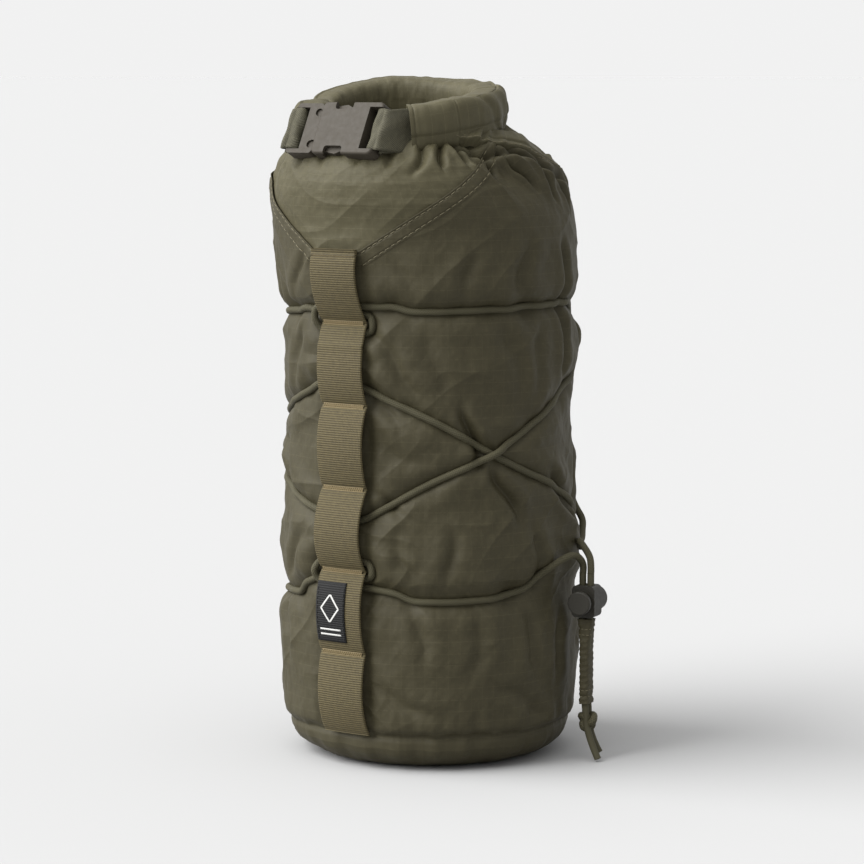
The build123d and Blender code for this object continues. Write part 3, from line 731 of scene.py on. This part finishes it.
# ---- side folds of the collar, tucked under the roll ----
FOLD_LOW = curve_through([(54, 308, 0), (66, 303, 0), (80, 297.5, 0), (95, 290, 0), (108, 281.5, 0),
                          (119, 273, 0), (130, 264, 0), (140, 257, 0)], 24)
FOLD_TOP = curve_through([(66, 314, 0), (78, 311.5, 0), (94, 307, 0), (110, 299.5, 0), (121, 289, 0),
                          (129.5, 279, 0), (138, 268, 0), (144, 258.5, 0)], 24)


def side_fold(side, hand):
    """A tapering fold from the roll down over the shoulder, with its stitches."""
    u, v = np.linspace(0, 1, len(FOLD_LOW))[:, None], np.linspace(0, 1, 44)
    az = FOLD_LOW[:, :1] + (FOLD_TOP[:, :1] - FOLD_LOW[:, :1]) * v
    m = FOLD_LOW[:, 1:2] + (FOLD_TOP[:, 1:2] - FOLD_LOW[:, 1:2]) * v
    crown = smooth(v, 0, 0.09) * (1 - smooth(v, 0.8, 1.0))
    ripple = 0.7 * np.sin(u * 17) * np.sin(v * 3.1) + 0.45 * folds_n(u + 0.2, v * 3 + u * 4)
    lift = -1.6 + crown * (5.8 + ripple)
    lift = lift - 1.0 * bump(v - 0.34 - 0.08 * np.sin(u * 9), 0.05) * smooth(u, 0.2, 0.4)
    lift = lift * (1 - smooth(u, 0.6, 0.96)) - 2.2 * smooth(u, 0.7, 1.0)
    flat = cloth_point(hand * az, m, plain=True)
    out = cloth_point(hand * az, m, lift=1.0, plain=True) - flat
    depth = 0.8 * relief(hand * az[:, 20], np.full(len(az), 296.0), True)[:, None]
    pts = flat + out * (lift + np.clip(depth, -0.6, 1.4))[..., None]
    fold = grid(f"side_fold_{side}", pts, v[None] * 9 + 0 * u, u * 92 + 0 * v[None], False, COLLAR_LIT,
                flip=hand < 0)
    place(fold)
    stitches = []
    for first, last in ((14, 30), (30, 14)):
        i = np.rint(np.linspace(first, last, 12)).astype(int)
        j = np.rint(np.linspace(8, 30, 12)).astype(int)
        stitches += stitch_row(pts[i, j] + out[i, j] * 0.1, 1.7, 0.5, 0.1)
    stitches += stitch_row(pts[10:120, 5] + out[10:120, 5] * 0.08, 2.3, 0.8, 0.1)
    place(tubes(f"side_fold_stitches_{side}", stitches, 0.17, 6, THREAD))


side_fold("right", 1)
side_fold("left", -1)

# ---- stitching of the V seam ----
seam_stitches = []
for drop in SEAM_ROWS:
    for centre in CHAINS.values():
        for hand in (-1, 1):
            arc = centre + hand * np.linspace(10.6, 80, 500)
            seam_stitches += stitch_row(cloth_point(arc, v_edge(arc) - drop, lift=0.1))
place(tubes("v_seam_stitches", seam_stitches, 0.2, 6, THREAD))

# ---- webbing chains ----
chain_z = np.arange(16.6, 242.2, 0.2)
chain_axes, chain_lines = {}, {}
for side, centre in CHAINS.items():
    a = math.radians(centre)
    out, across = np.array([math.sin(a), -math.cos(a), 0]), np.array([math.cos(a), math.sin(a), 0])
    points = cloth_point(np.full(len(chain_z), centre), chain_z)
    under = softened(points @ out, 23)
    tack_r = [float(np.interp(z, chain_z, under)) + 0.7 for z in TACK_Z]
    line = np.interp(chain_z, TACK_Z[::-1], tack_r[::-1])
    swell = np.zeros(len(chain_z))
    for i, height in enumerate(BULGE):
        share = np.clip((TACK_Z[i] - chain_z) / (TACK_Z[i] - TACK_Z[i + 1]), 0, 1)
        lean_to = share ** (1.12 if i % 2 else 0.92)
        swell += height * np.sin(math.pi * lean_to) ** 0.72 * ((share > 0) & (share < 1))
    r = softened(np.maximum(line + swell, under + 0.6), 9)
    chain_axes[side], chain_lines[side] = (out, across), (r, points @ across)


def chain_point(side, x, z, lift=0.0):
    """Points on a chain's inner face, x across it, plus a lift outward."""
    out, across = chain_axes[side]
    r, slide = chain_lines[side]
    x, z = np.broadcast_arrays(np.asarray(x, float), np.asarray(z, float))
    radial = np.interp(z, chain_z, r) + lift - 0.62 * x ** 2 / 140.0
    sway = 0.35 * np.sin(z / 17.0 + len(side))
    side_way = np.interp(z, chain_z, slide) + x + sway
    return radial[..., None] * out + side_way[..., None] * across + z[..., None] * UP


right_edge = [(12.6, 0.7), (12.45, 1.15), (12.1, WEB_T)]
outline = [(-12.5, 0.2), (-12.2, 0.0)] + [(x, 0.0) for x in np.linspace(-11, 11, 9)]
outline += [(12.2, 0.0), (12.5, 0.2)] + right_edge
outline += [(x, WEB_T) for x in np.linspace(11.4, -11.4, 25)]
outline += [(-x, height) for x, height in reversed(right_edge)]
outline = np.array(outline)
perimeter = run_length(np.vstack([outline, outline[:1]]))
web_rows = np.arange(17.0, 241.8, 0.21 / FINE)


def webbing_strip(side):
    """The webbing of one chain, ribbed, with its top end doubled over."""
    x = np.repeat(outline[None, :, 0], len(web_rows), 0)
    z = np.repeat(web_rows[:, None], len(outline), 1)
    lift = np.repeat(outline[None, :, 1], len(web_rows), 0).copy()
    wave = np.cos(2 * math.pi * z / WEB_PITCH)
    outer = lift > 1.0
    lift += np.where(outer, 0.05 + 0.05 * wave, 0) + 0.9 * smooth(z, 238.4, 238.9) * (lift / WEB_T)
    for tack in TACK_Z[:-1]:
        lift -= np.where(outer, 0.3 * bump(z - tack, 1.5), 0)
    edge_wave = np.where(np.abs(x) > 12, 0.06 * wave, 0) * np.sign(x)
    pts = chain_point(side, x + edge_wave, z, lift)
    uu = np.repeat(perimeter[None], len(web_rows), 0)
    vv = np.repeat(web_rows[:, None], len(perimeter), 1)
    return grid(f"webbing_{side}", pts, uu, vv, True, WEB, flip=True)


def tack_threads(side):
    """A zigzag between two straight rows at each bar tack."""
    count, paths = 42, []
    for tack in TACK_Z[:-1]:
        xs = np.linspace(-11.2, 11.2, count)
        zs = tack + np.where(np.arange(count) % 2, 0.85, -0.85)
        paths.append(resample(chain_point(side, xs, zs, WEB_T - 0.12), 0.3))
        for row in (0.9, -0.9):
            xs = np.linspace(-11.4, 11.4, 60)
            paths.append(chain_point(side, xs, np.full(60, tack + row), WEB_T - 0.16))
    return tubes(f"tack_thread_{side}", paths, 0.24, 6, TACK_THREAD)


for side in CHAINS:
    strip = place(webbing_strip(side))
    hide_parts(f"chain_{side}")
    thread = place(tack_threads(side))
    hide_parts(f"bar_tacks_{side}")

# ---- label ----
LABEL_X, LABEL_Z = (-12.0, 4.6), (60.4, 88.2)


def patch(name, x0, x1, z0, z1, lift, material, nx=14, nz=24, lean=0.0):
    """A thin piece on the front chain's face, leaning sideways as it rises."""
    xs, zs = np.meshgrid(np.linspace(x0, x1, nx), np.linspace(z0, z1, nz))
    pts = chain_point("front", xs + lean * (zs - z0), zs, WEB_T + lift)
    obj = grid(name, pts, xs, zs, False, material)
    thicken(obj, 0.0004)
    return place(obj)


label = patch("woven_label", *LABEL_X, *LABEL_Z, 0.5, LABEL)
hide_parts("label")
for k, z0 in enumerate((63.4, 65.8)):
    patch(f"label_bar_{k}", -9.6, 2.2, z0, z0 + 0.8, 0.62, MARK, 10, 3)
SLANT = 0.78                                      # sideways lean of the diamond's strokes
for k, (x0, z0, lean) in enumerate([(-9.2, 76, SLANT), (-4.2, 69.6, -SLANT), (-4.2, 69.6, SLANT),
                                    (0.8, 76, -SLANT)]):
    patch(f"label_slant_{k}", x0, x0 + 1.0, z0, z0 + 6.4, 0.62, MARK, 4, 14, lean)
label_stitches = []
for x in (LABEL_X[0] + 0.8, LABEL_X[1] - 0.8):
    z = np.linspace(LABEL_Z[0] + 0.7, LABEL_Z[1] - 0.7, 60)
    label_stitches += stitch_row(chain_point("front", np.full(60, x), z, WEB_T + 0.55), 1.7, 0.6, 0.08)
place(tubes("label_stitches", label_stitches, 0.14, 6, LABEL_THREAD))

# ---- shock cord ----
LOCK_OUT = np.array([math.sin(math.radians(LOCK_AZ)), -math.cos(math.radians(LOCK_AZ)), 0])
LOCK_ALONG = np.array([-LOCK_OUT[1], LOCK_OUT[0], 0])
LOCK_FOOT = LOCK_RADIUS * LOCK_OUT
LOCK_C = LOCK_FOOT + LOCK_Z * UP


def beside_lock(out, along, z):
    """A point at a height, given by its offsets from the lock's axis."""
    return LOCK_FOOT + LOCK_OUT * out + LOCK_ALONG * along + z * UP


on_cloth = cloth_point(route[:, 0], route[:, 1])
cloth_r = np.hypot(on_cloth[:, 0], on_cloth[:, 1])
cord_r = softened(np.maximum(softened(cloth_r, 41) + 0.55, cloth_r + 0.75) + route[:, 2], 13)
scale = cord_r / cloth_r
cord_path = on_cloth * np.stack([scale, scale, np.ones_like(scale)], -1)

# near the lock the route gives way to the two strands that rise out of it
start = curve_through([beside_lock(-2, 0, 87.4), beside_lock(-2, 0, 93.0), beside_lock(-4, -4.5, 97.2),
                       beside_lock(-7.4, -11, 96.2), cord_path[6]], 16)
finish = curve_through([cord_path[-8], beside_lock(-5.4, 4.4, 102.6), beside_lock(0.6, 1.2, 96.8),
                        beside_lock(2, 0, 92.4), beside_lock(2, 0, 87.4)], 16)
whole = resample(np.concatenate([start[:-1], cord_path[6:-8], finish[1:]]), 0.9)
whole = np.stack([softened(whole[:, k], 7) for k in range(3)], -1)
lacing = place(tubes("lacing_cord", [whole], CORD_R, 18, CORD))
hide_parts("shock_cord")

# ---- knot and spring ----
KNOT_AT = beside_lock(0.8, 0, 18.5)
turn = np.linspace(0, 2 * math.pi, 120, endpoint=False)
loops = []
for spin, size in ((0.0, 1.25), (0.5, 1.05)):
    local = np.stack([np.sin(turn + spin) + 2 * np.sin(2 * turn), np.cos(turn + spin) - 2 * np.cos(2 * turn),
                      -1.7 * np.sin(3 * turn + spin)], -1) * size
    loops.append(KNOT_AT + local[:, :1] * LOCK_OUT + local[:, 1:2] * UP + local[:, 2:] * LOCK_ALONG)
knot = place(tubes("overhand_knot", loops, CORD_R, 12, CORD))
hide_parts("knot")

COIL_R, COIL_TURNS = 2.85, 4.5
turn = np.linspace(0, 2 * math.pi * COIL_TURNS, 220)
depth = np.interp(turn, [0, 5, turn[-1] - 5, turn[-1]], [9.2, 8.7, 4.2, 3.75])
coil = LOCK_C + (COIL_R * np.cos(turn))[:, None] * LOCK_OUT + (COIL_R * np.sin(turn))[:, None] * UP
spring = tubes("lock_coil", [coil + depth[:, None] * LOCK_ALONG], 0.3, 8, STEEL)
place(spring, "lock")
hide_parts("lock_spring")
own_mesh(spring)

# ---- pull sleeve ----
SLEEVE_TOP, SLEEVE_LOW = 67.0, 27.0
SLEEVE_SIDES = 48


def sleeve_section(zs):
    """Points round the flattened sleeve at each height, crumpled and drawn in at its stitches."""
    angle = np.linspace(0, 2 * math.pi, SLEEVE_SIDES, endpoint=False)
    half_out = np.interp(zs, [27, 30, 55, 63, 67], [2.7, 2.4, 2.45, 3.3, 3.9])[:, None]
    half_wide = np.interp(zs, [27, 40, 55, 67], [4.6, 4.3, 4.3, 3.3])[:, None]
    co, si = np.cos(angle), np.sin(angle)
    co, si = np.sign(co) * np.abs(co) ** 0.55, np.sign(si) * np.abs(si) ** 0.55
    crumple = 0.08 * np.sin(zs[:, None] * 0.9 + 3 * angle) + 0.1 * np.sin(zs[:, None] * 2.3 - 2 * angle)
    shape = crumple - 0.28 * (bump(zs - 62.5, 0.8) + bump(zs - 30.5, 0.8))[:, None]
    return (LOCK_FOOT + ((half_out + shape) * co)[..., None] * LOCK_OUT
            + ((half_wide + shape) * si)[..., None] * LOCK_ALONG
            + zs[:, None, None] * UP)


sleeve_z = np.linspace(SLEEVE_TOP, SLEEVE_LOW, 150)
sleeve_pts = sleeve_section(sleeve_z)
around_uv = np.repeat(np.linspace(0, 26, SLEEVE_SIDES + 1)[None], len(sleeve_z), 0)
down_uv = np.repeat(sleeve_z[:, None], SLEEVE_SIDES + 1, 1)
sleeve = grid("pull_sleeve_cloth", sleeve_pts, around_uv, down_uv, True, CLOTH, flip=True)
thicken(sleeve, 0.0006)
place(sleeve)
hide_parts("pull_sleeve")
sleeve_stitches = []
for z in (62.5, 59.8, 33.4, 30.6):
    loop = sleeve_pts[int(np.argmin(np.abs(sleeve_z - z)))]
    sleeve_stitches += stitch_row(np.vstack([loop, loop[:1]]), 1.5, 0.6, 0.1)
sleeve_thread = place(tubes("sleeve_stitches", sleeve_stitches, 0.17, 6, THREAD))


# ---- free ends ----
def cord_tail(name, aside, hand):
    """One free end: down through the lock, the sleeve and the knot to its bare tip."""
    points = [beside_lock(aside, 0, 88.6), beside_lock(aside, 0, 66.5),
              beside_lock(0.5 * aside, 2.2 * hand, 54), beside_lock(-0.3, 1.95 * hand, 40),
              beside_lock(0.2, 2.0 * hand, 26), beside_lock(1.2 + 0.2 * aside, 2.1 * hand, 12),
              beside_lock(6.5 + 0.5 * aside, 3.4 * hand, 2.2 + 0.9 * hand)]
    data = bpy.data.curves.new(name + "_cord", "CURVE")
    data.dimensions = "3D"
    spline = data.splines.new("NURBS")
    spline.points.add(len(points) - 1)
    for point, co in zip(spline.points, points):
        point.co = (*(co * MM), 1)
    spline.order_u = 3
    spline.use_endpoint_u = True
    spline.resolution_u = 16
    data.bevel_depth = CORD_R * MM
    data.bevel_resolution = 6
    data.use_fill_caps = True
    tail = bpy.data.objects.new(name + "_cord", data)
    bpy.context.scene.collection.objects.link(tail)
    data.materials.append(plain(name + "_braid", srgb(58, 55, 38), 0.7, sheen=0.08))
    place(tail)
    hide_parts(name)


cord_tail("cord_tail_inner", -2.0, 1)
cord_tail("cord_tail_outer", 2.0, -1)

# ---- rolled collar ----
tilt = math.radians(ROLL_TILT)
roll_up = np.array([0, -math.sin(tilt), math.cos(tilt)])
roll_back = np.array([0, math.cos(tilt), math.sin(tilt)])
roll_n, roll_fine = Noise(40, 9, 31), Noise(130, 24, 33)
FLATTEN = 0.62                                    # below one, it squares the roll's round section
CAP_RINGS = 6


def roll_point(theta, phi, lift=0.0):
    """Points on the roll: theta round the ring from the front, phi round its section, outward first."""
    theta, phi = np.broadcast_arrays(np.asarray(theta, float), np.asarray(phi, float))
    t = np.radians(theta)
    out = np.sin(t)[..., None] * np.array([1.0, 0, 0]) - np.cos(t)[..., None] * roll_back
    c, s = np.cos(phi), np.sin(phi)
    half_w = 7.6 + 1.3 * bump(theta - 112, 30) + 0.6 * bump(theta - 280, 22)
    half_h = 10.6 + 0.7 * bump(theta - 78, 36) - 0.5 * bump(theta - 180, 60)
    u = theta / 360.0
    turn = phi / (2 * math.pi)
    bunched = 0.5 + bump(theta - 112, 26) + bump(theta - 286, 20)
    wrinkle = 0.75 * roll_n(u + 0.10 * turn, turn * 5 + 1) * bunched
    wrinkle += 0.28 * roll_n(u * 2, turn * 7) + 0.07 * roll_fine(u, turn * 20)
    crease = -1.7 * bump(theta - 117 - 9 * s, 3.0) - 1.5 * bump(theta - 127 + 6 * s, 3.4)
    crease += -1.6 * bump(theta - 285 + 8 * s, 2.8) - 1.3 * bump(theta - 272 - 5 * s, 3.0)
    crease += -0.9 * bump(theta - 96 + 10 * s, 3.0)
    layer = 0.9 * smooth(turn, -0.02, 0.0) * (1 - smooth(turn, 0.175, 0.182))
    layer -= 0.5 * bump(turn - 0.186, 0.006)
    seam_line = -0.35 * bump(np.abs(theta - 56) - 12.5, 0.5)
    h = wrinkle + crease + layer + seam_line + lift
    w = np.sign(c) * np.abs(c) ** FLATTEN * (half_w + h)
    v = np.sign(s) * np.abs(s) ** FLATTEN * (half_h + h * 0.8)
    rise = 3.4 * bump(theta - 226, 40) - 1.0 * bump(theta - 300, 30)
    centre = np.array([0, ROLL_C, ROLL_MID + 0.4]) + rise[..., None] * UP
    return centre + out * (ROLL_R + 0.2 + w)[..., None] + v[..., None] * roll_up


def roll_cap(theta, inward, phis):
    """Rings that close one end of the roll, from its rim to a sunken centre."""
    rings = [roll_point(np.full(len(phis), theta), phis, -0.5)]
    for shrink, depth in ((0.86, 0.4), (0.84, 2.4), (0.5, 2.8), (0.2, 2.8), (0.02, 2.8)):
        loop = roll_point(np.full(len(phis), theta + inward * depth), phis, -0.6)
        centre = loop.mean(axis=0)
        rings.append(centre + (loop - centre) * shrink)
    return np.array(rings)


def rolled_collar():
    """The roll's cloth, with both ends closed."""
    along, sides = int(1100 * FINE), int(220 * FINE)
    phis = np.linspace(-math.pi, math.pi, sides, endpoint=False)
    pts = roll_point(np.linspace(ROLL_START, ROLL_END, along)[:, None], phis[None])
    pts = np.concatenate([roll_cap(ROLL_START, 1, phis)[::-1], pts, roll_cap(ROLL_END, -1, phis)])
    uu = np.repeat(np.linspace(0, 62, sides + 1)[None], len(pts), 0)
    run = np.concatenate([np.zeros(CAP_RINGS), np.linspace(0, 195, along), np.full(CAP_RINGS, 195.0)])
    return grid("rolled_collar_cloth", pts, uu, np.repeat(run[:, None], sides + 1, 1), True, COLLAR_LIT)


roll = place(rolled_collar())
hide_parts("rolled_collar")

# ---- buckle webbing ----
TAB_W, TAB_T = 20.0, 1.25
BAR_AT = 23.0                                     # webbing bars, either side of the buckle's middle
BUCKLE_O = np.array([-4.0, -66.5, 294.5])
buckle_lean = math.radians(27)
B_X, B_Y = np.array([1.0, 0, 0]), np.array([0, math.sin(buckle_lean), math.cos(buckle_lean)])
B_Z = np.array([0, -math.cos(buckle_lean), math.sin(buckle_lean)])


def at_buckle(x, z):
    """A point in the buckle's middle plane: x along it, z out from the sack."""
    return BUCKLE_O + x * B_X + z * B_Z


def roll_end(theta, outward):
    """A point level with the roll's middle, outward from its ring at an azimuth."""
    t = math.radians(theta)
    out = math.sin(t) * np.array([1.0, 0, 0]) - math.cos(t) * roll_back
    return np.array([0, ROLL_C, ROLL_MID]) + out * (ROLL_R + outward)


def unit_rows(rows):
    return rows / np.linalg.norm(rows, axis=1, keepdims=True)


def band(name, centres, widths, width, thick, material):
    """Flat webbing along centres, its width lying along the given directions."""
    path = curve_through(centres, 20)
    wide = unit_rows(curve_through(widths, 20))
    normal = unit_rows(np.cross(unit_rows(np.gradient(path, axis=0)), wide))
    xs = np.linspace(-width / 2, width / 2, 21)
    loop = np.array([(x, thick / 2) for x in xs] + [(width / 2 + 0.2, 0.0)]
                    + [(x, -thick / 2) for x in xs[::-1]] + [(-width / 2 - 0.2, 0.0)])
    sag = 0.25 * np.sin(loop[None, :, 0] * 0.5 + np.arange(len(path))[:, None] * 0.11)
    pts = (path[:, None] + loop[None, :, :1] * wide[:, None]
           + (loop[None, :, 1] + sag)[..., None] * normal[:, None])
    across = run_length(np.vstack([loop, loop[:1]]))
    return grid(name, pts, np.repeat(across[None], len(path), 0),
                np.repeat(run_length(path)[:, None], len(across), 1), True, material, flip=True)


def buckle_webbing(name, hand, theta, inner):
    """Webbing from inside the roll, round one bar of the buckle and back."""
    def bar(x, z):
        return at_buckle(hand * (BAR_AT + x), z)

    centres = [roll_end(inner, 2.6), roll_end(theta, 2.6), bar(4.4, 2.0), bar(1.6, 2.9), bar(-1.0, 2.9),
               bar(-2.5, 1.2), bar(-2.5, -1.2), bar(-1.0, -2.9), bar(1.8, -2.9), bar(4.4, -1.0),
               roll_end(theta, -0.4), roll_end(inner, -0.4)]
    turning = roll_up * 0.6 + B_Y * 0.4
    return band(name, centres, [roll_up, turning] + [B_Y] * 8 + [turning, roll_up], TAB_W, TAB_T, TAB)


tab = place(buckle_webbing("socket_webbing", 1, ROLL_START, 48.0))
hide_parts("socket_tab")
strap = buckle_webbing("plug_webbing", -1, ROLL_END, 303.0)
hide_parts("plug_strap")
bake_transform(strap)

# ---- finishes of the CAD pieces ----
finishes = {"buckle_socket": BUCKLE, "buckle_plug": BUCKLE, "arm_upper": BUCKLE, "arm_lower": BUCKLE,
            "lock_body": LOCK, "lock_plunger": LOCK}
for name, material in finishes.items():
    obj = NODES[name]
    obj.data.materials.clear()
    obj.data.materials.append(material)
    soft = obj.modifiers.new("soft_edges", "BEVEL")
    soft.width, soft.segments, soft.limit_method, soft.angle_limit = 0.00035, 2, "ANGLE", math.radians(40)

# ---- stage ----
FLOOR_GREY, WORLD_GREY = 0.336, 0.882             # together they hide the horizon

bpy.ops.mesh.primitive_plane_add(size=400, location=(0, 0, 0))
floor = bpy.context.object
floor.name = "floor"
floor.data.materials.append(plain("floor", (FLOOR_GREY, FLOOR_GREY, FLOOR_GREY, 1), 0.9))
floor.data.materials[0].node_tree.nodes["Principled BSDF"].inputs["Specular IOR Level"].default_value = 0

world = bpy.data.worlds.new("studio")
bpy.context.scene.world = world
world.use_nodes = True
sky = world.node_tree.nodes["Background"].inputs
sky["Color"].default_value = (WORLD_GREY, WORLD_GREY, WORLD_GREY, 1)
sky["Strength"].default_value = 1.0


def toward(azimuth, elevation):
    """Unit direction from the sack, by azimuth and elevation in degrees."""
    a, e = math.radians(azimuth), math.radians(elevation)
    return np.array([math.sin(a) * math.cos(e), -math.cos(a) * math.cos(e), math.sin(e)])


def sun(name, azimuth, elevation, strength, spread):
    """A broad, soft sun standing in a direction from the sack."""
    data = bpy.data.lights.new(name, "SUN")
    data.energy, data.angle = strength, math.radians(spread)
    obj = bpy.data.objects.new(name, data)
    back = toward(azimuth, elevation)
    obj.location = tuple(back * 2)
    obj.rotation_euler = (math.acos(back[2]), 0, math.atan2(-back[1], -back[0]) - math.pi / 2)
    bpy.context.scene.collection.objects.link(obj)


sun("key", -42, 36, 6.4, 60)
sun("top", -24, 72, 1.8, 70)

VIEW_AZ, VIEW_EL, VIEW_AWAY = 35, 6.5, 1.5
TARGET = np.array([0.0008, 0.0006, 0.151])
camera_data = bpy.data.cameras.new("camera")
camera_data.lens, camera_data.sensor_width = 131.25, 36
camera_data.clip_start, camera_data.clip_end = 0.05, 500
camera = bpy.data.objects.new("camera", camera_data)
camera.location = tuple(TARGET + VIEW_AWAY * toward(VIEW_AZ, VIEW_EL))
camera.rotation_euler = (math.pi / 2 - math.radians(VIEW_EL), 0, math.radians(VIEW_AZ))
bpy.context.scene.collection.objects.link(camera)
bpy.context.scene.camera = camera
bpy.context.scene.view_settings.view_transform = "Standard"
bpy.context.scene.view_settings.look = "None"
